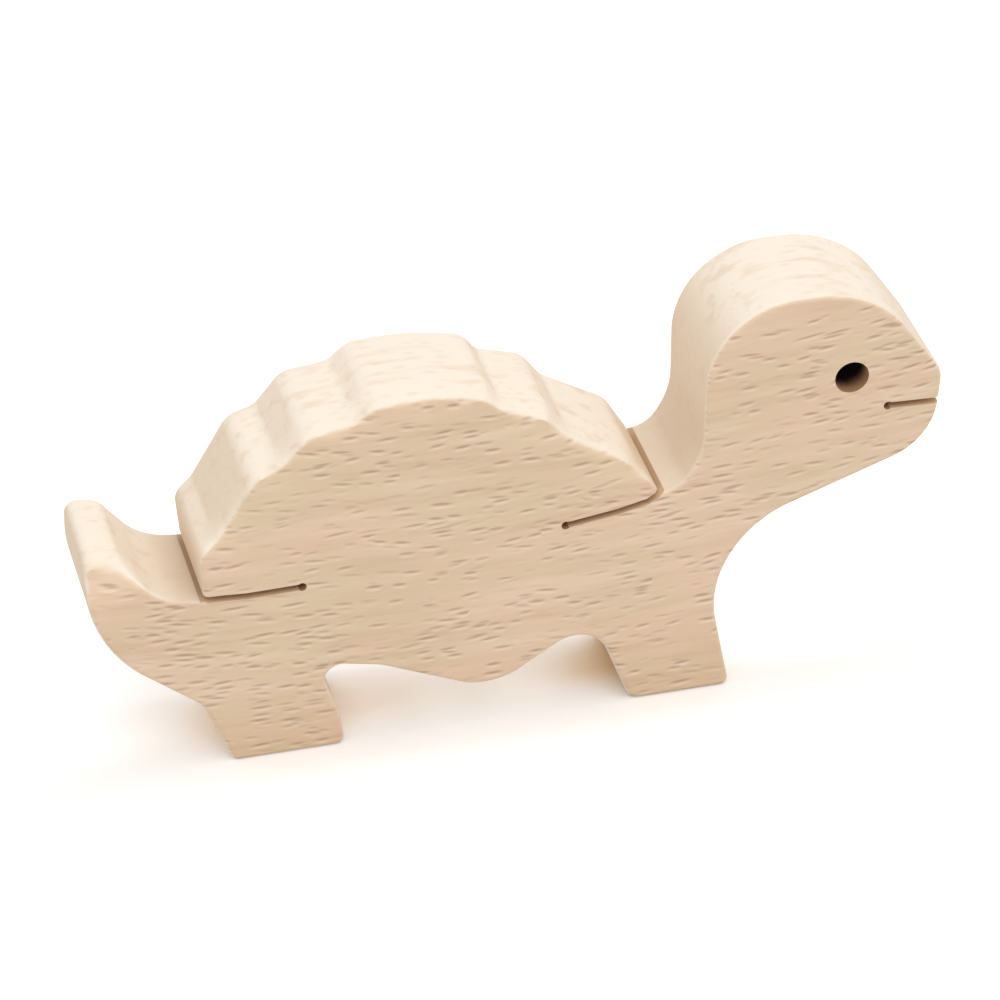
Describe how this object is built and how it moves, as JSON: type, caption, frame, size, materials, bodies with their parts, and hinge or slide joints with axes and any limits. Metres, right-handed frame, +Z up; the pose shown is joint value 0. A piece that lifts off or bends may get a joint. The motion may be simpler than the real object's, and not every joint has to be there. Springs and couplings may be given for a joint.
{
  "type": "wooden turtle figure",
  "caption": "Flat wooden turtle figure sawn from a board, with a scalloped shell, stopped saw kerfs below it, a slit mouth and a drilled eye; it stands on flat soles.",
  "frame": {"origin": "on the plane of the soles, below the middle of the figure's length and the middle of the board's thickness", "axes": "+X along the body towards the nose, +Y through the board's thickness, +Z up from the soles"},
  "size_m": [0.1238, 0.018, 0.0646],
  "materials": {
    "beech": "bare sanded beech, matt, with short dark flecks on the flat faces"
  },
  "bodies": {
    "root": {"turtle_figure": "beech"}
  },
  "joints": []
}
